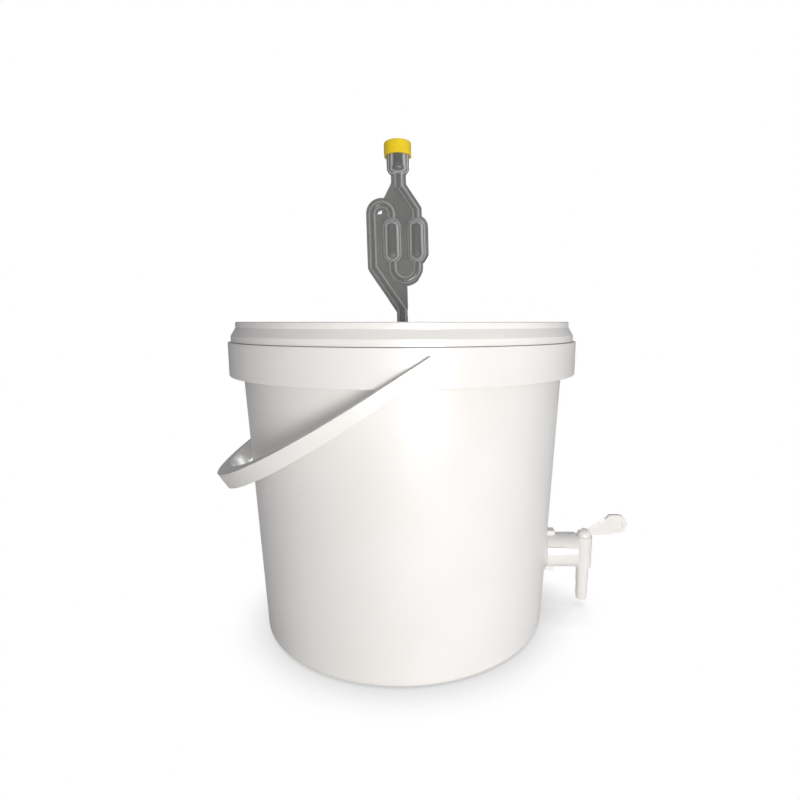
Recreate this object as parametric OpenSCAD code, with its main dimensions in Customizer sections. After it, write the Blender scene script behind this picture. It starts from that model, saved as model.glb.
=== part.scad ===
// Fermentation bucket with a press-on lid, a twin-chamber airlock, a carrying handle and a drain tap.
// Millimetres, +Z up. The origin is on the bucket's axis at its underside, and the tap points along +X.

/* [Bucket] */
// Height of the bucket's rim above the ground
bucket_h = 238.4; // [200:0.2:280]
// Outer diameter of the wall where it would meet the ground
base_d = 226.6; // [190:0.2:260]
// Slope of the wall away from the vertical, in degrees
wall_taper = 2.65; // [1.5:0.05:4]
// Thickness of the wall
wall_t = 1.6; // [1.2:0.1:2.4]
// Thickness of the base
base_t = 2.4; // [2:0.1:4]
// Radius of the rounding between base and wall
base_corner_r = 5; // [4:0.5:9]
// Depth of the shallow ring sunk in the underside
foot_recess = 0.8; // [0.4:0.1:1]
// Width of the foot ring that the bucket stands on
foot_w = 12; // [8:1:20]
// Radius of the flat pad at the middle of the underside
pad_r = 20; // [12:1:30]
// How far the bead at the rim stands out from the wall
rim_bead = 0.5; // [0.3:0.1:1]

/* [Collar] */
// Height from the collar's top face up to the rim
collar_drop = 12.8; // [12.8:0.1:18]
// Height of the collar
collar_h = 24.1; // [20:0.1:32]
// Clear gap between the wall and the collar's skirt, at the top
collar_gap = 7.2; // [6:0.1:10]
// Thickness of the collar's skirt and top
collar_t = 1.6; // [1.2:0.1:2.2]
// Number of ribs inside the collar
rib_count = 12; // [8:2:20]
// Thickness of each rib
rib_t = 1.4; // [1:0.1:2]

/* [Lid] */
// Thickness of the lid
lid_t = 1.6; // [1.2:0.1:2]
// Radial gap between the lid's rim channel and the bucket's rim
lid_fit = 0.4; // [0.3:0.05:0.8]
// Gap between the lid's skirt and the collar's top face
lid_seam = 0.3; // [0.3:0.05:0.6]
// Height of the upright band at the top of the lid
lid_band_h = 4.2; // [3:0.1:5]
// Height of the sloping band under it
lid_slope_h = 5.7; // [4:0.1:6]
// How far the lid's skirt stands in from the collar's face
lid_step = 2.2; // [1:0.1:2.4]
// Depth of the lid's panel below the top of its rim
lid_recess = 5.2; // [4.5:0.1:6]
// Further drop of the panel's outer ring
lid_ring_drop = 1.6; // [1:0.1:2.4]
// Width of the panel's outer ring
lid_ring_w = 16; // [8:1:30]
// Depth of the plug wall that goes down inside the bucket
lid_plug_h = 12; // [11:0.1:16]

/* [Handle] */
// Height of the pivot below the collar's top face
pivot_drop = 9.2; // [8:0.1:14]
// Turn of the pivot line about the bucket, in degrees
handle_turn = 6; // [0:0.5:12]
// How far the handle hangs below the level, in degrees
handle_droop = 33.1; // [0:0.1:37]
// Gap between the collar and the handle's legs
handle_gap = 0.7; // [0.5:0.1:1.5]
// Thickness of the legs at the pivots
leg_t = 5.2; // [4:0.1:7]
// Width of the legs at the pivots
leg_w = 7.1; // [7:0.1:9]
// Straight length of the legs from the pivot
leg_l = 30; // [26:0.5:40]
// Length of the leg beyond the pivot
leg_end = 3; // [3:0.1:6]
// Thickness of the handle at its middle
grip_t = 10.5; // [8:0.1:14]
// Width of the handle at its middle
grip_w = 12.1; // [10:0.1:16]
// Diameter of the pivot pins
pin_d = 5; // [4:0.1:5.4]
// Length of the pins inside the collar's bosses
pin_grip = 4; // [2.5:0.1:4.5]
// Thickness of the bosses around the pins
boss_wall = 2.4; // [2:0.1:3.2]

/* [Airlock] */
// Position of the hole in the lid, left or right of the middle
hole_x = -1; // [-10:0.5:10]
// Lean of the airlock to the left, in degrees
lean_left = 1.25; // [0:0.05:3]
// Lean of the airlock to the rear, in degrees
lean_back = 4; // [0:0.1:5]
// Wall of every tube and chamber
air_wall = 1.2; // [0.8:0.1:1.4]
// Outer diameter of the stem
stem_d = 8.8; // [8:0.1:10]
// Length of the stem below the top of the lid
stem_l = 26; // [20:0.5:36]
// Outer diameter of the thin tubes
tube_d = 6; // [5.2:0.1:6.6]
// Outer diameter of the two chambers
chamber_d = 15.4; // [12:0.1:15.8]
// Length of each chamber
chamber_l = 35; // [30:0.5:39]
// Distance between the two chambers' axes
chamber_pitch = 19.1; // [18.8:0.1:22]
// Distance from the left tube's axis to the left chamber's axis
loop_pitch = 15; // [14:0.1:18]
// How far the welded flange stands out beside a tube or a chamber
flange_w = 1.6; // [1:0.1:1.7]
// Thickness of the welded flange on each half
flange_t = 1.3; // [0.8:0.1:2]
// Thickness of the flat web on each half
web_t = 0.8; // [0.6:0.1:0.8]
// Outer diameter of the cup at the top
cup_d = 17.7; // [15:0.1:20]
// Height of the cup
cup_h = 21.6; // [16:0.1:26]
// Radius of the rounding at the cup's bottom
cup_corner_r = 5; // [3:0.1:5]
// Outer diameter of the neck below the cup
neck_d = 8.4; // [7:0.1:10]

/* [Airlock cap] */
// Height of the cap
cap_h = 10.3; // [8:0.1:14]
// Thickness of the cap
cap_t = 1.4; // [1:0.1:2]
// Radial gap between cap and cup
cap_fit = 0.35; // [0.3:0.05:0.6]
// Height of the vent pads that keep the cap off the cup's rim
vent_h = 1; // [0.6:0.1:1.6]
// Radius of the rounding around the cap's top
cap_edge_r = 1.2; // [0.4:0.1:1.3]

/* [Grommet] */
// Thickness of the grommet's wall around the stem
grommet_wall = 2.2; // [1.8:0.1:3]
// How far the grommet's lips reach past the hole in the lid
grommet_lip = 2.6; // [1.5:0.1:4]
// Thickness of the grommet's upper lip
grommet_top_t = 2.6; // [1.5:0.1:3.4]
// Thickness of the grommet's lower lip
grommet_low_t = 3; // [2:0.1:4]

/* [Tap] */
// Turn of the tap about the bucket, in degrees
tap_turn = -3; // [-20:0.5:20]
// Height of the tap's axis above the ground
tap_z = 50; // [48:0.5:90]
// Outer diameter of the tap's body
tap_d = 28.4; // [28:0.1:34]
// Length of the tap's body from its shoulder to its end
tap_body_l = 26.3; // [22:0.1:26.3]
// Diameter of the threaded shank
shank_d = 24; // [20:0.1:25]
// Length of the shank
shank_l = 20; // [18:0.5:26]
// Diameter of the passage through the tap's body
tap_bore_d = 16; // [10:0.1:18]
// Pitch of the shank's thread
thread_pitch = 1.8; // [1.4:0.1:2.4]
// Depth of the shank's thread
thread_depth = 0.8; // [0.4:0.1:1]
// Thickness of each rubber washer at its middle
washer_t = 2.2; // [2:0.1:3]
// Outer diameter of the outer washer
outer_washer_d = 30; // [29:0.5:36]
// Outer diameter of the inner washer
inner_washer_d = 34; // [30:0.5:36]
// Size of the back nut across its flats
nut_af = 34; // [32:0.5:42]
// Thickness of the back nut
nut_t = 8; // [5:0.5:10]
// Distance of the valve's axis from the tap's shoulder
valve_reach = 32.5; // [32:0.1:44]
// Outer diameter of the upright barrel
barrel_d = 14; // [13.4:0.1:16]
// Height of the barrel
barrel_h = 26.9; // [24:0.1:34]
// Height of the tap's axis above the barrel's lower face
barrel_low = 15.2; // [12:0.1:17]
// Diameter of the plug that turns inside the barrel
plug_d = 10.8; // [9:0.1:11.4]
// Diameter of the passage through the plug and the spout
spout_bore_d = 6.4; // [5:0.1:7]
// Height of the passage's side window
window_h = 9; // [6:0.1:12]
// Outer diameter of the spout's upper part
spout_d = 10.2; // [9:0.1:11]
// Length of the spout's upper part
spout_l = 12.6; // [8:0.1:16]
// Outer diameter of the nozzle at the spout's end
nozzle_d = 9.5; // [8.2:0.1:10]
// Length of the nozzle's straight part
nozzle_l = 11.5; // [8:0.1:14]
// Length of the nozzle's tapered tip
tip_l = 4.8; // [2:0.1:6]
// Diameter of the nozzle's tip
tip_d = 8.4; // [7.4:0.1:8.4]
// Diameter of the hub above the barrel
hub_d = 11.8; // [11:0.1:11.8]
// Length of the lever from the valve's axis to the middle of its round end
lever_l = 27.3; // [22:0.1:40]
// Rise of the lever's round end above the foot of the hub
lever_rise = 10.6; // [8.6:0.1:14]
// Diameter of the lever's round end
lever_end_d = 16; // [12:0.1:17]
// Thickness of the lever
lever_t = 3.4; // [2.6:0.1:4.4]
// Depth of the round thumb recess on each side of the lever
thumb_depth = 0.6; // [0.3:0.1:0.8]

/* [Fits] */
// Radial clearance of pins and plugs that turn or slide
run_fit = 0.05; // [0.03:0.01:0.08]

/* [Hidden] */
$fn = 96;

white = [0.95, 0.95, 0.93];
clear = [0.62, 0.63, 0.62, 0.7];
yellow = [0.97, 0.83, 0.11];
rubber = [0.78, 0.78, 0.76];
arc_steps = 6;
past = 0.5;

// Radius of the bucket's outer surface at height z
function wall_r(z) = base_d / 2 + z * tan(wall_taper);

// Points of a quarter arc about c, from angle a to angle b
function arc(c, r, a, b, n = arc_steps) =
  [for (i = [0:n]) c + r * [cos(a + (b - a) * i / n), sin(a + (b - a) * i / n)]];

collar_z = bucket_h - collar_drop;
collar_low_z = collar_z - collar_h;
collar_r = wall_r(collar_z) + collar_gap + collar_t;
rim_r = wall_r(bucket_h) + rim_bead;
collar_edge_r = 0.8;
rim_edge_r = 0.5;
inner_corner_r = base_corner_r - wall_t;

// Places on the lid
lid_z = bucket_h + lid_t;
lid_band_r = rim_r + lid_fit + lid_t;
lid_skirt_r = collar_r - lid_step;
lid_foot_z = collar_z + lid_seam;
lid_slope_z = lid_z - lid_band_h;
lid_plug_z = lid_z - lid_plug_h;
lid_plug_r = wall_r(lid_plug_z) - wall_t - lid_fit;
lid_well_r = lid_plug_r - lid_t;
panel_z = lid_z - lid_recess;
ring_z = panel_z - lid_ring_drop;
panel_r = lid_well_r - lid_ring_w;

// Places on the handle, in its own flat frame: the pivot line is along Y and the middle is at -X
pivot_z = collar_z - pivot_drop;
leg_in = collar_r + handle_gap;
leg_out = leg_in + leg_t;
grip_shift = grip_t - leg_t;
reach = leg_l + leg_out;
pin_in = collar_r - collar_t - pin_grip;
boss_d = pin_d + 2 * boss_wall;

// Places on the airlock, in its own flat frame: X is across, Y is up from the top of the lid, Z is to the front
chamber_x = [-chamber_pitch / 3, chamber_pitch * 2 / 3];
chamber_r = chamber_d / 2;
chamber_mid = 63;
chamber_half = chamber_l / 2 - chamber_r;
tube_r = tube_d / 2;
band_r = tube_r + flange_w;
riser_x = chamber_x[0] - loop_pitch;
stem_bend = [0, 10.5];
riser_low = [riser_x, 42.6];
bend_low_y = chamber_mid - chamber_l / 2 - 3.5;
loop_y = chamber_mid + chamber_l / 2 + 2.7;
inlet_y = loop_y + 3;
neck_foot = [0, inlet_y + 19.5];
cup_y = neck_foot[1] + 6.8;
cup_top = cup_y + cup_h;
cap_foot = cup_top + vent_h + cap_t - cap_h;
cap_r = cup_d / 2 + cap_fit + cap_t;

// Places on the grommet
panel_mid = panel_z - lid_t / 2;
bore_r = stem_d / 2 + run_fit;
hole_r = bore_r + grommet_wall;
lip_r = hole_r + grommet_lip;

// Places on the tap, in its own frame: X is outwards from the bucket's axis, and Z is up from the tap's axis
tap_wall_r = wall_r(tap_z);
shoulder_x = tap_wall_r + washer_t;
body_end_x = shoulder_x + tap_body_l;
valve_x = shoulder_x + valve_reach;
nut_face_x = tap_wall_r - wall_t / cos(wall_taper) - washer_t;
barrel_top = barrel_h - barrel_low;
spout_top = -barrel_low;
nozzle_top = spout_top - spout_l;
tip_top = nozzle_top - nozzle_l;
spout_foot = tip_top - tip_l;
hub_r = hub_d / 2;
crest_r = shank_d / 2;
root_r = crest_r - thread_depth;
lug_w = 8.3;
lug_out = 3.3;
lug_l = 7;
key_w = 5;
key_out = 1.2;
key_l = 14;
key_tilt = -16;
shoulder_edge_r = 1.6;

// Bucket: one moulding with its collar, rim and pivot bosses

// The bucket's section, from the middle of its underside round to the middle of its floor
function bucket_section() = concat(
  [[0, 0], [pad_r, 0], [pad_r, foot_recess]],
  [[base_d / 2 - base_corner_r - foot_w, foot_recess], [base_d / 2 - base_corner_r - foot_w, 0]],
  arc([wall_r(base_corner_r) - base_corner_r, base_corner_r], base_corner_r, -90, 0),
  [[wall_r(collar_z - collar_t), collar_z - collar_t]],
  [[collar_r - collar_t, collar_z - collar_t], [collar_r - collar_t, collar_low_z]],
  arc([collar_r - collar_edge_r, collar_low_z + collar_edge_r], collar_edge_r, -90, 0),
  arc([collar_r - rim_edge_r, collar_z - rim_edge_r], rim_edge_r, 0, 90, 3),
  [[wall_r(collar_z), collar_z], [wall_r(bucket_h - 4), bucket_h - 4], [rim_r, bucket_h - 3]],
  arc([rim_r - rim_edge_r, bucket_h - rim_edge_r], rim_edge_r, 0, 90, 3),
  [[wall_r(bucket_h) - wall_t, bucket_h]],
  arc([wall_r(base_t + inner_corner_r) - wall_t - inner_corner_r, base_t + inner_corner_r],
      inner_corner_r, 0, -90),
  [[0, base_t]]
);

module collar_ribs() {
  rib_l = collar_r - collar_t - wall_r(collar_low_z) + wall_t;
  intersection() {
    for (i = [0:rib_count - 1])
      rotate([0, 0, handle_turn + 360 * (i + 0.5) / rib_count])
        translate([wall_r(collar_low_z) - wall_t / 2, -rib_t / 2, collar_low_z + 4])
          cube([rib_l, rib_t, collar_h - 4 - collar_t / 2]);
    rotate_extrude()
      polygon([
        [wall_r(collar_low_z) - wall_t / 2, collar_low_z],
        [collar_r - collar_t / 2, collar_low_z],
        [collar_r - collar_t / 2, collar_z],
        [wall_r(collar_z) - wall_t / 2, collar_z]
      ]);
  }
}

module at_pivots() {
  for (side = [-1, 1])
    translate([0, 0, pivot_z])
      rotate([0, 0, handle_turn])
        rotate([-90 * side, 0, 0])
          children();
}

module bucket() {
  color(white)
    difference() {
      union() {
        rotate_extrude() polygon(bucket_section());
        collar_ribs();
        at_pivots()
          translate([0, 0, wall_r(pivot_z) - wall_t / 2])
            cylinder(d = boss_d, h = collar_r - collar_t / 2 - wall_r(pivot_z) + wall_t / 2);
      }
      at_pivots()
        translate([0, 0, pin_in - past])
          cylinder(r = pin_d / 2 + run_fit, h = collar_r - pin_in + 2 * past);
      at_tap()
        translate([wall_r(0) - 2 * wall_t - 4, 0, 0])
          rotate([0, 90, 0])
            cylinder(r = crest_r + 0.25, h = 2 * wall_t + 24);
    }
}

// Lid: a rim channel over the bucket's rim, and a sunk panel with the hole for the grommet

function lid_section() = concat(
  [[0, panel_z], [panel_r, panel_z], [panel_r + lid_ring_drop, ring_z], [lid_well_r, ring_z]],
  [[lid_well_r, lid_z - 0.6], [lid_well_r + 0.6, lid_z]],
  [[lid_band_r - 0.6, lid_z], [lid_band_r, lid_z - 0.6]],
  [[lid_band_r, lid_slope_z], [lid_skirt_r, lid_slope_z - lid_slope_h], [lid_skirt_r, lid_foot_z]],
  [[lid_skirt_r - lid_t, lid_foot_z], [lid_skirt_r - lid_t, lid_slope_z - lid_slope_h - 0.6]],
  [[lid_band_r - lid_t, lid_slope_z - 0.6], [lid_band_r - lid_t, bucket_h]],
  [[lid_plug_r, bucket_h], [lid_plug_r, lid_plug_z], [lid_well_r, lid_plug_z]],
  [[lid_well_r, ring_z - lid_t], [panel_r + lid_ring_drop - 0.7, ring_z - lid_t]],
  [[panel_r - 0.7, panel_z - lid_t], [0, panel_z - lid_t]]
);

module lid() {
  color(white)
    difference() {
      rotate_extrude() polygon(lid_section());
      translate([hole_x, 0, panel_z - lid_t - past])
        cylinder(r = hole_r, h = lid_t + 2 * past);
    }
}

// Grommet: a rubber bush in the lid's hole, bored to the airlock's lean

module at_airlock() {
  translate([hole_x, 0, panel_mid])
    rotate([-lean_back, -lean_left, 0])
      translate([0, 0, lid_z - panel_mid])
        children();
}

module grommet() {
  color(rubber)
    difference() {
      translate([hole_x, 0, 0])
        rotate_extrude()
          polygon([
            [0, panel_z + grommet_top_t],
            [lip_r - 0.8, panel_z + grommet_top_t],
            [lip_r, panel_z + grommet_top_t - 0.8],
            [lip_r, panel_z],
            [hole_r, panel_z],
            [hole_r, panel_z - lid_t],
            [lip_r - 0.6, panel_z - lid_t],
            [hole_r, panel_z - lid_t - grommet_low_t],
            [0, panel_z - lid_t - grommet_low_t]
          ]);
      at_airlock()
        translate([0, 0, -stem_l])
          cylinder(r = bore_r, h = 2 * stem_l);
    }
}

// Airlock: two clear mouldings, welded along the flange in the middle plane

// A round bar from point a to point b in the flat frame
module bar(a, b, r) {
  d = b - a;
  translate([a[0], a[1], 0])
    rotate([0, 0, atan2(d[1], d[0])])
      rotate([0, 90, 0])
        cylinder(r = r, h = norm(d));
}

// A round bar bent about point c from angle a, through a half turn, with a short sleeve at each end
module bent_bar(c, bend_r, a, r) {
  translate([c[0], c[1], 0])
    rotate([0, 0, a]) {
      rotate_extrude(angle = 180)
        translate([bend_r, 0])
          circle(r = r);
      for (side = [-1, 1])
        translate([side * bend_r, 0, 0])
          rotate([90, 0, 0])
            cylinder(r = r + 0.04, h = 0.8, center = true);
    }
}

// A chamber as one solid of radius r with round ends
module chamber(x, r) {
  translate([x, chamber_mid, 0])
    rotate([-90, 0, 0])
      rotate_extrude()
        polygon(concat(arc([0, -chamber_half], r, -90, 0, 8), arc([0, chamber_half], r, 0, 90, 8)));
}

// A ball that rounds off the corner between two bars of radius r
module corner_ball(p, r) {
  translate([p[0], p[1], 0]) sphere(r = r + 0.04);
}

// Every hollow of the airlock as a solid, grown inwards by t
module channels(t) {
  r = tube_r - t;
  bar([0, -stem_l - (t > 0 ? past : 0)], stem_bend, stem_d / 2 - t);
  corner_ball(stem_bend, r);
  bar(stem_bend, riser_low, r);
  corner_ball(riser_low, r);
  bar(riser_low, [riser_x, loop_y], r);
  bent_bar([riser_x + loop_pitch / 2, loop_y], loop_pitch / 2, 0, r);
  bar([chamber_x[0], loop_y], [chamber_x[0], chamber_mid], r);
  for (x = chamber_x) {
    chamber(x, chamber_r - t);
    bar([x, chamber_mid], [x, bend_low_y], r);
  }
  bent_bar([(chamber_x[0] + chamber_x[1]) / 2, bend_low_y], chamber_pitch / 2, 180, r);
  bar([chamber_x[1], chamber_mid], [chamber_x[1], inlet_y], r);
  corner_ball([chamber_x[1], inlet_y], r);
  bar([chamber_x[1], inlet_y], neck_foot, r);
  cup(t);
}

// The cup and its neck as one solid, grown inwards by t, and open at the top
module cup(t) {
  r = cup_d / 2 - t;
  foot = cup_y + t;
  top = cup_top + (t > 0 ? past : 0);
  corner = cup_corner_r - t;
  rotate([-90, 0, 0])
    rotate_extrude()
      polygon(concat(
        [[0, neck_foot[1] - 3 + t], [neck_d / 2 - t, neck_foot[1] - 3 + t], [neck_d / 2 - t, foot]],
        arc([r - corner, foot + corner], corner, -60, 0),
        [[r, top], [0, top]]
      ));
}

// A straight band in the flat frame, half as wide as w on each side
module band(a, b, w) {
  d = b - a;
  translate(a)
    rotate(atan2(d[1], d[0]))
      translate([0, -w])
        square([norm(d), 2 * w]);
}

module chamber_band(x, w) {
  translate([x - w, chamber_mid - chamber_half]) square([2 * w, 2 * chamber_half]);
  for (side = [-1, 1])
    translate([x, chamber_mid + side * chamber_half]) circle(r = w);
}

// Outline of the welded flange: a band along every tube and round each chamber
module flange_outline() {
  band(stem_bend - [0, 1], riser_low, band_r);
  translate(stem_bend) circle(r = band_r);
  translate(riser_low) circle(r = band_r);
  band(riser_low, [riser_x, loop_y], band_r);
  difference() {
    translate([riser_x + loop_pitch / 2, loop_y]) circle(r = loop_pitch / 2 + band_r);
    translate([riser_x + loop_pitch / 2, loop_y]) circle(r = loop_pitch / 2 - band_r);
    translate([riser_x - band_r, loop_y - 40]) square([loop_pitch + 2 * band_r, 40]);
  }
  for (x = chamber_x)
    chamber_band(x, chamber_r + flange_w);
  band([chamber_x[0], chamber_mid], [chamber_x[0], loop_y], band_r);
  for (x = chamber_x)
    band([x, bend_low_y], [x, chamber_mid], band_r);
  difference() {
    translate([(chamber_x[0] + chamber_x[1]) / 2, bend_low_y]) circle(r = chamber_pitch / 2 + band_r);
    translate([(chamber_x[0] + chamber_x[1]) / 2, bend_low_y]) circle(r = chamber_pitch / 2 - band_r);
    translate([chamber_x[0] - band_r, bend_low_y]) square([chamber_pitch + 2 * band_r, 40]);
  }
  band([chamber_x[1], chamber_mid], [chamber_x[1], inlet_y], band_r);
  translate([chamber_x[1], inlet_y]) circle(r = band_r);
  band([chamber_x[1], inlet_y], neck_foot, band_r);
  band(neck_foot - [0, 2], [0, cup_y + 1], neck_d / 2 + flange_w);
}

// Outline of the thin web that closes the spaces between the tubes
module web_outline() {
  polygon([
    [0, stem_bend[1]],
    riser_low,
    [riser_x, loop_y],
    [riser_x + loop_pitch / 2, loop_y],
    [riser_x + loop_pitch / 2 + 2, loop_y + loop_pitch / 2 + band_r],
    [-neck_d / 2 - flange_w, neck_foot[1] + 1],
    neck_foot,
    [chamber_x[1], inlet_y],
    [chamber_x[1], bend_low_y],
    [band_r, bend_low_y - chamber_pitch / 2],
    [band_r, stem_bend[1]]
  ]);
}

// One half of the airlock in the flat frame, on the side of +Z
module half_shell() {
  difference() {
    union() {
      linear_extrude(flange_t) flange_outline();
      linear_extrude(web_t) web_outline();
      intersection() {
        channels(0);
        translate([-60, -60, 0]) cube([120, 260, 20]);
      }
    }
    channels(air_wall);
  }
}

module airlock_front_half() {
  color(clear)
    at_airlock()
      rotate([90, 0, 0])
        half_shell();
}

module airlock_rear_half() {
  color(clear)
    at_airlock()
      rotate([90, 0, 0])
        mirror([0, 0, 1])
          half_shell();
}

// Cap: a loose cover over the cup, kept off its rim by vent pads

module airlock_cap() {
  cap_top = cap_foot + cap_h;
  color(yellow)
    at_airlock() {
      difference() {
        rotate_extrude()
          polygon(concat(
            [[0, cap_foot], [cap_r, cap_foot]],
            arc([cap_r - cap_edge_r, cap_top - cap_edge_r], cap_edge_r, 0, 90),
            [[0, cap_top]]
          ));
        translate([0, 0, cap_foot - past])
          cylinder(r = cap_r - cap_t, h = cap_h - cap_t + past);
      }
      for (i = [0:2])
        rotate([0, 0, 120 * i + 30])
          translate([cup_d / 2 - 3, -0.8, cup_top])
            cube([3 + cap_fit + cap_t / 2, 1.6, vent_h + cap_t / 2]);
    }
}

// Handle: one moulded bail with a pin at each end

// The handle's outline in its flat frame, solid as far as its outer edge
module bail_area(half_w, middle) {
  translate([-middle, 0]) circle(r = half_w, $fn = 192);
  translate([-middle, -half_w]) square([middle + leg_end, 2 * half_w]);
}

module bail_outline() {
  difference() {
    intersection() {
      bail_area(leg_out, leg_l);
      translate([-reach - 1, -leg_out - 1]) square([reach + leg_end + 1, 2 * leg_out + 2]);
    }
    bail_area(leg_in, leg_l - grip_shift);
    translate([0, -leg_in]) square([2 * leg_end, 2 * leg_in]);
  }
}

// The handle's side view: it widens steadily from the pivots to the middle
module bail_side() {
  slope = (grip_w - leg_w) / reach;
  far = grip_w / 2;
  near = (leg_w - leg_end * slope) / 2;
  polygon([[leg_end, -near], [leg_end, near], [-reach, far], [-reach, -far]]);
}

module handle() {
  color(white)
    translate([0, 0, pivot_z])
      rotate([0, 0, handle_turn])
        rotate([0, -handle_droop, 0]) {
          intersection() {
            linear_extrude(2 * grip_w, center = true) bail_outline();
            rotate([90, 0, 0]) linear_extrude(3 * reach, center = true) bail_side();
          }
          for (side = [-1, 1])
            rotate([-90 * side, 0, 0])
              translate([0, 0, pin_in])
                cylinder(d = pin_d, h = leg_in + leg_t / 2 - pin_in);
        }
}

// Tap: a body clamped through the wall by its back nut, and a valve that turns in it

module at_tap() {
  rotate([0, 0, tap_turn])
    translate([0, 0, tap_z])
      children();
}

// A solid turned about the tap's axis, from points of distance outwards and radius
module turned_x(points) {
  rotate([0, 90, 0])
    rotate_extrude()
      polygon([for (p = points) [p[1], p[0]]]);
}

thread_turns = floor((shank_l - thread_pitch) / thread_pitch);

// Ridges along the shank, from its inner end to the shoulder
function thread_section() = concat(
  [[shoulder_x - shank_l, 0], [shoulder_x - shank_l, root_r]],
  [for (i = [0:thread_turns - 1], k = [0:1])
    [shoulder_x - shank_l + thread_pitch * (i + 0.5 + k / 2), k == 0 ? crest_r : root_r]],
  [[shoulder_x - thread_pitch / 2, root_r], [shoulder_x - thread_pitch / 4, crest_r]],
  [[shoulder_x + past, crest_r], [shoulder_x + past, 0]]
);

module tap_body() {
  color(white)
    at_tap()
      difference() {
        union() {
          turned_x(thread_section());
          turned_x(concat(
            [[shoulder_x, 0], [shoulder_x, tap_d / 2]],
            [for (p = arc([body_end_x - shoulder_edge_r, tap_d / 2 - shoulder_edge_r],
                          shoulder_edge_r, 90, 0)) p],
            [[body_end_x, 0]]
          ));
          for (side = [-1, 1])
            translate([shoulder_x, -lug_w / 2, side > 0 ? 0 : -tap_d / 2 - lug_out])
              cube([lug_l, lug_w, tap_d / 2 + lug_out]);
          for (side = [0, 180])
            rotate([side + key_tilt, 0, 0])
              translate([shoulder_x, -tap_d / 2 - key_out, -key_w / 2])
                cube([key_l, tap_d / 2, key_w]);
          translate([valve_x, 0, -barrel_low])
            cylinder(d = barrel_d, h = barrel_h);
        }
        translate([valve_x, 0, -barrel_low - past])
          cylinder(r = plug_d / 2 + run_fit, h = barrel_h + 2 * past);
        translate([shoulder_x - shank_l - past, 0, 0])
          rotate([0, 90, 0])
            cylinder(d = tap_bore_d, h = shank_l + past + 16);
        translate([shoulder_x, 0, 0])
          rotate([0, 90, 0])
            cylinder(d = window_h, h = valve_reach);
      }
}

// The wall as a solid cone, grown by t, which the washers are shaped against
module wall_cone(t) {
  z = tap_z - 60;
  translate([0, 0, -60])
    cylinder(r1 = wall_r(z) + t, r2 = wall_r(z + 120) + t, h = 120, $fn = 192);
}

module tap_outer_washer() {
  color(rubber)
    at_tap()
      difference() {
        translate([tap_wall_r - 6, 0, 0])
          rotate([0, 90, 0])
            cylinder(d = outer_washer_d, h = 6 + washer_t);
        wall_cone(0);
        rotate([0, 90, 0])
          cylinder(r = crest_r + run_fit, h = valve_x);
      }
}

module tap_inner_washer() {
  color(rubber)
    at_tap()
      difference() {
        intersection() {
          translate([nut_face_x, 0, 0])
            rotate([0, 90, 0])
              cylinder(d = inner_washer_d, h = 6 + washer_t);
          wall_cone(-wall_t);
        }
        rotate([0, 90, 0])
          cylinder(r = crest_r + run_fit, h = valve_x);
      }
}

module tap_back_nut() {
  color(white)
    at_tap()
      translate([nut_face_x - nut_t, 0, 0])
        rotate([0, 90, 0])
          difference() {
            rotate([0, 0, 30]) cylinder(d = nut_af / cos(30), h = nut_t, $fn = 6);
            translate([0, 0, -past]) cylinder(r = crest_r + run_fit, h = nut_t + 2 * past);
          }
}

// Outline of the lever, from the valve's axis outwards and up from the foot of the hub
module lever_outline() {
  end = [lever_l, lever_rise];
  end_r = lever_end_d / 2;
  translate(end) circle(r = end_r);
  polygon([
    [0, 0.6],
    [end[0], end[1] - end_r],
    [end[0], end[1] + end_r],
    [end[0] - end_r * 0.85, end[1] + end_r],
    [end[0] - end_r * 1.3, end[1] + end_r * 0.52],
    [end[0] - end_r * 1.9, end[1] + end_r * 0.12],
    [hub_r * 0.6, hub_r * 0.9],
    [0, hub_r * 0.9]
  ]);
}

module tap_valve() {
  color(white)
    at_tap()
      translate([valve_x, 0, 0])
        difference() {
          union() {
            rotate_extrude()
              polygon([
                [0, spout_foot],
                [tip_d / 2, spout_foot],
                [nozzle_d / 2, tip_top],
                [nozzle_d / 2, nozzle_top],
                [spout_d / 2, nozzle_top],
                [spout_d / 2, spout_top],
                [plug_d / 2, spout_top],
                [plug_d / 2, barrel_top],
                [0, barrel_top]
              ]);
            translate([0, 0, barrel_top]) cylinder(r = hub_r, h = 0.6);
            intersection() {
              translate([0, 0, barrel_top + 0.6]) sphere(r = hub_r);
              translate([-hub_r, -hub_r, barrel_top]) cube([2 * hub_r, 2 * hub_r, 2 * hub_r]);
            }
            translate([0, lever_t / 2, barrel_top])
              rotate([90, 0, 0])
                linear_extrude(lever_t) lever_outline();
          }
          translate([0, 0, spout_foot - past])
            cylinder(d = spout_bore_d, h = window_h / 2 - spout_foot + past);
          rotate([90, 0, 0])
            translate([0, 0, -plug_d])
              cylinder(d = spout_bore_d, h = 2 * plug_d);
          for (side = [-1, 1])
            translate([lever_l, side * lever_t / 2, barrel_top + lever_rise])
              rotate([90, 0, 0])
                cylinder(d = lever_end_d * 0.6, h = 2 * thumb_depth, center = true);
        }
}

bucket();
lid();
grommet();
airlock_front_half();
airlock_rear_half();
airlock_cap();
handle();
tap_body();
tap_outer_washer();
tap_inner_washer();
tap_back_nut();
tap_valve();
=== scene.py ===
# %% [markdown]
# The frame. The real bucket is twelve mouldings and washers, and the imported model holds each at its real
# size. New meshes could be laid over them, but hard plastic has no stitching, folds or weave to add. So the
# model's own surfaces stay in view, and this script gives them finish, light and camera.

# %% Load the frame
import math

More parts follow.
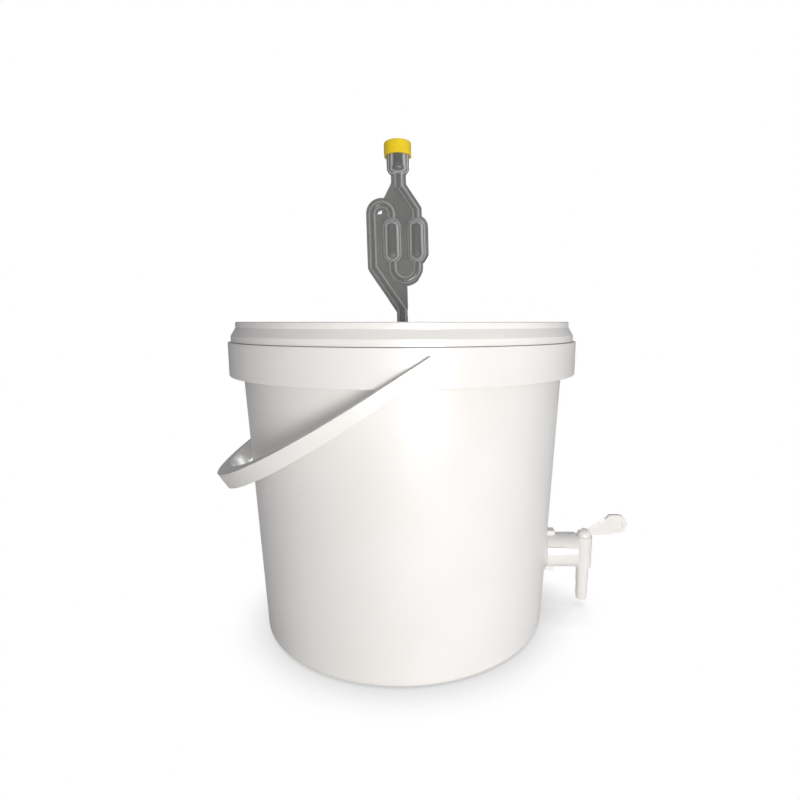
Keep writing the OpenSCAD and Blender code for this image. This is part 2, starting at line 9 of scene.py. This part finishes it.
import bpy
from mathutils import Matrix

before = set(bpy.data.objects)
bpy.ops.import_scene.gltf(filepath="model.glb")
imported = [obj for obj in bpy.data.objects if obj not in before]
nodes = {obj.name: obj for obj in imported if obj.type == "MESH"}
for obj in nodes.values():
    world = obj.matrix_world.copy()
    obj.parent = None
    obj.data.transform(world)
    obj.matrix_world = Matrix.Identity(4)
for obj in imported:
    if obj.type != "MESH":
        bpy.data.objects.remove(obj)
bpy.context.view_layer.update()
print("pieces:", ", ".join(nodes))

# %% [markdown]
# Colour. A hex value is a colour as a screen shows it, and a shader wants amounts of light. The two could
# be matched by eye in a colour picker. One function does it exactly, and the hex values stay in sight.

# %% Screen colour to light
FOOT_END = 0.04045
FOOT_SLOPE = 12.92
CURVE_SHIFT = 0.055
CURVE_POWER = 2.4


def to_light(channel):
    """A channel from 0 to 1: divided by a slope near black, and shifted and raised to a power above it."""
    if channel <= FOOT_END:
        return channel / FOOT_SLOPE
    return ((channel + CURVE_SHIFT) / (1 + CURVE_SHIFT)) ** CURVE_POWER


def linear(hex_colour):
    """A hex screen colour as linear red, green and blue, with an alpha of 1."""
    channels = [int(hex_colour[i : i + 2], 16) / 255 for i in (0, 2, 4)]
    return tuple(to_light(channel) for channel in channels) + (1.0,)


# %% [markdown]
# Shader nodes. A finish is a small graph of nodes. It could be drawn by hand, but a script makes the same
# one every time. One function adds a node, fills in its values and links what comes from the others.

# %% Node helpers
FIRST_VALUE = 0
SECOND_VALUE = 1
FIRST_SHADER = 1
SECOND_SHADER = 2
MIX_COLOUR_A = 6
MIX_COLOUR_B = 7
MIX_COLOUR_RESULT = 2


def add_node(tree, kind, inputs=None, **settings):
    """Adds a node: settings are its own options, and each input is a plain value or a socket to link."""
    new = tree.nodes.new(kind)
    for key, value in settings.items():
        setattr(new, key, value)
    for key, value in (inputs or {}).items():
        if isinstance(value, bpy.types.NodeSocket):
            tree.links.new(value, new.inputs[key])
        else:
            new.inputs[key].default_value = value
    return new


def empty_tree(holder):
    """Switches on the nodes of a material or a world, and clears them so that nothing unplanned is left."""
    holder.use_nodes = True
    holder.node_tree.nodes.clear()
    return holder.node_tree


# %% [markdown]
# Moulded plastic. The bucket, lid, handle, tap and cap are polypropylene, injection moulded in polished
# steel. That gives the eye an even colour with a soft gloss, and never one flat tone. An image could hold
# the small changes, but it would need a file. So slow noise mixes two close tones, and a fine grain bends
# the surface.

# %% Moulded plastic
MM = 0.001
# The tone drifts over 111 mm, about a hand's width: nine patches to a metre
TONE_PATCH = 1000 / 9 * MM
TONE_DETAIL = 2.0
TONE_STOPS = (0.35, 0.65)
# The polish marks of a mould are far finer, and are drawn 1.1 mm wide so that they show
GRAIN_WIDTH = 10 / 9 * MM
GRAIN_DETAIL = 3.0
GRAIN_DEPTH = 0.2 * MM
COAT_ROUGHNESS = 0.12


def plastic(name, colour, shade, roughness, grain, coat=0.0):
    """A moulded finish: two close tones mixed by slow noise, a fine grain as bump and a coat of gloss."""
    material = bpy.data.materials.new(name)
    tree = empty_tree(material)
    place = add_node(tree, "ShaderNodeTexCoord").outputs["Object"]
    slow = add_node(
        tree, "ShaderNodeTexNoise", {"Vector": place, "Scale": 1 / TONE_PATCH, "Detail": TONE_DETAIL}
    )
    fine = add_node(
        tree, "ShaderNodeTexNoise", {"Vector": place, "Scale": 1 / GRAIN_WIDTH, "Detail": GRAIN_DETAIL}
    )
    tone = add_node(tree, "ShaderNodeValToRGB", {"Fac": slow.outputs["Fac"]})
    for stop, position, tint in zip(tone.color_ramp.elements, TONE_STOPS, (shade, colour)):
        stop.position = position
        stop.color = linear(tint)
    bump = add_node(
        tree, "ShaderNodeBump", {"Height": fine.outputs["Fac"], "Strength": grain, "Distance": GRAIN_DEPTH}
    )
    surface = add_node(
        tree,
        "ShaderNodeBsdfPrincipled",
        {
            "Base Color": tone.outputs["Color"],
            "Roughness": roughness,
            "Coat Weight": coat,
            "Coat Roughness": COAT_ROUGHNESS,
            "Normal": bump.outputs["Normal"],
        },
    )
    add_node(tree, "ShaderNodeOutputMaterial", {"Surface": surface.outputs["BSDF"]})
    print("finish:", name)
    return material


# Polypropylene from a polished mould: a clean white with a soft gloss
WHITE = plastic("white_plastic", colour="F1EFEB", shade="ECEAE6", roughness=0.3, grain=0.05, coat=0.25)
# The same plastic in the bucket: a trace darker, with a rougher base under a stronger coat
BODY = plastic("bucket_plastic", colour="F0EEEB", shade="EBE9E5", roughness=0.34, grain=0.05, coat=0.3)
# Dyed polypropylene from a plainer mould: a full yellow, satin
YELLOW = plastic("yellow_plastic", colour="FDDC22", shade="F8D217", roughness=0.35, grain=0.08)
# Pressed rubber: grey, matt and grainy
RUBBER = plastic("washer_rubber", colour="D9D8D2", shade="CFCEC8", roughness=0.65, grain=0.25)

# %% [markdown]
# Clear plastic. The airlock is clear polystyrene, moulded in two halves that are welded together. The eye
# sees less a colour than light and dark lines along its walls. Bending the light through many thin walls
# is the true way, but it is slow and grainy. So the wall is see-through with a grey tint, and Layer
# Weight picks painted bands for its gloss colour as it turns away: pale painted highlight lines and dark
# painted shade lines. The bands move with the viewer, as glints on clear plastic do, but nothing is
# refracted.

# %% Clear plastic
FACING_BLEND = 0.45
# How much of the wall is seen, facing the viewer and edge on
WALL_SHARE = (0.45, 0.95)
# The wall's slight unevenness, 16.7 mm or a finger wide, moves its roughness between these ends
RIPPLE_WIDTH = 50 / 3 * MM
RIPPLE_DETAIL = 2.0
RIPPLE_RANGE = (0.3, 0.7)
WALL_ROUGHNESS = (0.05, 0.1)
WALL_SPECULAR = 0.8


def clear_plastic(name, tint, painted_bands):
    """A clear wall: a tinted see-through part mixed with a gloss whose colour runs through painted
    highlight and shade bands.
    """
    material = bpy.data.materials.new(name)
    tree = empty_tree(material)
    place = add_node(tree, "ShaderNodeTexCoord").outputs["Object"]
    ripple = add_node(
        tree, "ShaderNodeTexNoise", {"Vector": place, "Scale": 1 / RIPPLE_WIDTH, "Detail": RIPPLE_DETAIL}
    )
    rough = add_node(
        tree,
        "ShaderNodeMapRange",
        {
            "Value": ripple.outputs["Fac"],
            "From Min": RIPPLE_RANGE[0],
            "From Max": RIPPLE_RANGE[1],
            "To Min": WALL_ROUGHNESS[0],
            "To Max": WALL_ROUGHNESS[1],
        },
    )
    facing = add_node(tree, "ShaderNodeLayerWeight", {"Blend": FACING_BLEND}).outputs["Facing"]
    share = add_node(
        tree, "ShaderNodeMapRange", {"Value": facing, "To Min": WALL_SHARE[0], "To Max": WALL_SHARE[1]}
    )
    # Painted light: the gloss colour follows the view angle through dark painted shade lines and pale
    # painted highlight lines
    painted_lines = add_node(tree, "ShaderNodeValToRGB", {"Fac": facing})
    painted_lines.color_ramp.elements[0].color = linear(painted_bands[0][1])
    painted_lines.color_ramp.elements[1].color = linear(painted_bands[-1][1])
    for position, colour in painted_bands[1:-1]:
        painted_lines.color_ramp.elements.new(position).color = linear(colour)
    see = add_node(tree, "ShaderNodeBsdfTransparent", {"Color": linear(tint)})
    gloss = add_node(
        tree,
        "ShaderNodeBsdfPrincipled",
        {
            "Base Color": painted_lines.outputs["Color"],
            "Roughness": rough.outputs["Result"],
            "Specular IOR Level": WALL_SPECULAR,
        },
    )
    wall = add_node(
        tree,
        "ShaderNodeMixShader",
        {
            "Fac": share.outputs["Result"],
            FIRST_SHADER: see.outputs["BSDF"],
            SECOND_SHADER: gloss.outputs["BSDF"],
        },
    )
    add_node(tree, "ShaderNodeOutputMaterial", {"Surface": wall.outputs["Shader"]})
    print("finish:", name, "with", len(painted_bands), "painted_bands")
    return material


# Each band's place, from facing the viewer at 0 to edge on at 1, and its colour: pale for painted
# highlight, dark for painted shade
PAINTED_LIGHT_BANDS = (
    (0.0, "929391"), (0.1, "7A7B79"), (0.2, "FAFBF9"), (0.3, "6E6F6D"),
    (0.45, "F4F5F3"), (0.6, "747573"), (0.8, "E6E7E5"), (1.0, "8A8B89"),
)
CLEAR = clear_plastic("clear_plastic", "DEE0DE", PAINTED_LIGHT_BANDS)

# %% [markdown]
# Which piece gets which finish. Each piece of the real thing is one material through and through. A
# finish could be given face by face, but here one for each piece is true, and a table of names is the
# shortest way to say it.

# %% A finish for every piece
FINISH = {
    "bucket": BODY,
    "lid": WHITE,
    "handle": WHITE,
    "grommet": RUBBER,
    "airlock_front_half": CLEAR,
    "airlock_rear_half": CLEAR,
    "airlock_cap": YELLOW,
    "tap_body": WHITE,
    "tap_valve": WHITE,
    "tap_back_nut": WHITE,
    "tap_outer_washer": RUBBER,
    "tap_inner_washer": RUBBER,
}
for node_name, material in FINISH.items():
    mesh = nodes[node_name].data
    mesh.materials.clear()
    mesh.materials.append(material)
print("finished:", len(FINISH), "of", len(nodes), "pieces")

# %% [markdown]
# Camera. It stands 443 mm in front of the bucket's axis, at the height of the lid, and looks slightly
# down and to the right. It could be placed by eye, but these values come from a fit to the bucket's
# edges, so that the rims show as the same ellipses. A small shift then moves the frame without turning
# the view.

# %% Camera
CAMERA_PLACE = (0.0, -0.443, 0.240)
PITCH_DOWN = 0.1617
YAW_RIGHT = 0.0465
FRAME_SHIFT = (-0.0375, 0.0144)
SENSOR_WIDTH = 36.0
PICTURE_WIDTH = 800
FOCAL_PIXELS = 550
NEAR_CLIP = 0.01

camera_data = bpy.data.cameras.new("camera")
camera_data.sensor_width = SENSOR_WIDTH
camera_data.lens = FOCAL_PIXELS / PICTURE_WIDTH * SENSOR_WIDTH
camera_data.shift_x, camera_data.shift_y = FRAME_SHIFT
camera_data.clip_start = NEAR_CLIP
camera = bpy.data.objects.new("camera", camera_data)
camera.location = CAMERA_PLACE
camera.rotation_euler = (math.pi / 2 - PITCH_DOWN, 0.0, -YAW_RIGHT)
bpy.context.scene.collection.objects.link(camera)
bpy.context.scene.camera = camera
print(f"camera: lens {camera_data.lens:.2f} mm")

# %% [markdown]
# Light. A white object shows its form only by soft shading. One lamp could light it, but then one side
# would go flat. So a soft light stands low in front and a little to the right, a weak one far right, and
# one behind that gives the rear its shape. Their power is low enough that the white keeps its tone.

# %% Lights
BUCKET_MIDDLE = (0.0, 0.0, 0.13)


def soft_light(name, place, size, power, colour):
    """A square lamp turned to the bucket's middle: tilted by its height, then turned by its bearing."""
    data = bpy.data.lights.new(name, "AREA")
    data.size = size
    data.energy = power
    data.color = linear(colour)[:3]
    lamp = bpy.data.objects.new(name, data)
    east, north, up = [p - m for p, m in zip(place, BUCKET_MIDDLE)]
    lamp.location = place
    lamp.rotation_euler = (math.atan2(math.hypot(east, north), up), 0.0, math.atan2(east, -north))
    bpy.context.scene.collection.objects.link(lamp)
    print(f"{name}: {power} W")


soft_light("key_light", place=(0.2, -1.0, 0.12), size=0.35, power=7.15, colour="FFFDFC")
soft_light("right_light", place=(0.9, -0.3, 0.5), size=0.5, power=0.8, colour="F4F8FF")
soft_light("back_light", place=(0.1, 1.3, 0.5), size=0.5, power=5.0, colour="FFFFFF")

# %% [markdown]
# Room. The background is plain white, but a white room would light the plastic until its edges were lost.
# So only what the camera sees, straight or through clear plastic, is white, and every other ray finds a
# dim grey room.

# %% Room
PLAIN_WHITE = (1.0, 1.0, 1.0, 1.0)
ROOM_GREY = (0.27, 0.27, 0.28, 1.0)
ROOM_STRENGTH = 1.0

world = bpy.data.worlds.new("world")
bpy.context.scene.world = world
tree = empty_tree(world)
rays = add_node(tree, "ShaderNodeLightPath").outputs
seen = add_node(
    tree,
    "ShaderNodeMath",
    {FIRST_VALUE: rays["Is Camera Ray"], SECOND_VALUE: rays["Is Transmission Ray"]},
    operation="MAXIMUM",
)
room = add_node(
    tree,
    "ShaderNodeMix",
    {"Factor": seen.outputs["Value"], MIX_COLOUR_A: ROOM_GREY, MIX_COLOUR_B: PLAIN_WHITE},
    data_type="RGBA",
)
glow = add_node(
    tree, "ShaderNodeBackground", {"Color": room.outputs[MIX_COLOUR_RESULT], "Strength": ROOM_STRENGTH}
)
add_node(tree, "ShaderNodeOutputWorld", {"Surface": glow.outputs["Background"]})
print("room: white where it is seen, grey", ROOM_GREY[:3], "as light")

# %% [markdown]
# Floor. The bucket needs a ground, or it would float. A plain lit floor would turn grey and show its far
# edge. So the camera sees it glow white and darker only close to the bucket, by Ambient Occlusion, which
# measures how open a point is. The bucket itself sees a plain matt floor, which throws light up on it as
# a real one does.

# %% Floor
FLOOR_SIZE = 40.0
SHADOW_REACH = 50 * MM
SHADOW_SAMPLES = 8
# How open a floor point is, and how bright it then looks
OPENNESS = (0.3, 0.8)
BRIGHTNESS = (0.6, 1.0)

bpy.ops.mesh.primitive_plane_add(size=FLOOR_SIZE, location=(0.0, 0.0, 0.0))
floor = bpy.context.object
floor.name = "floor"
floor_material = bpy.data.materials.new("floor")
tree = empty_tree(floor_material)
near = add_node(tree, "ShaderNodeAmbientOcclusion", {"Distance": SHADOW_REACH}, samples=SHADOW_SAMPLES)
shadow = add_node(
    tree,
    "ShaderNodeMapRange",
    {
        "Value": near.outputs["AO"],
        "From Min": OPENNESS[0],
        "From Max": OPENNESS[1],
        "To Min": BRIGHTNESS[0],
        "To Max": BRIGHTNESS[1],
    },
)
glow = add_node(tree, "ShaderNodeEmission", {"Color": PLAIN_WHITE, "Strength": shadow.outputs["Result"]})
matt = add_node(tree, "ShaderNodeBsdfDiffuse", {"Color": linear("F4F4F4")})
rays = add_node(tree, "ShaderNodeLightPath").outputs
ground = add_node(
    tree,
    "ShaderNodeMixShader",
    {
        "Fac": rays["Is Camera Ray"],
        FIRST_SHADER: matt.outputs["BSDF"],
        SECOND_SHADER: glow.outputs["Emission"],
    },
)
add_node(tree, "ShaderNodeOutputMaterial", {"Surface": ground.outputs["Shader"]})
floor.data.materials.append(floor_material)
print("floor:", FLOOR_SIZE, "m wide")

bpy.context.scene.view_settings.view_transform = "Standard"
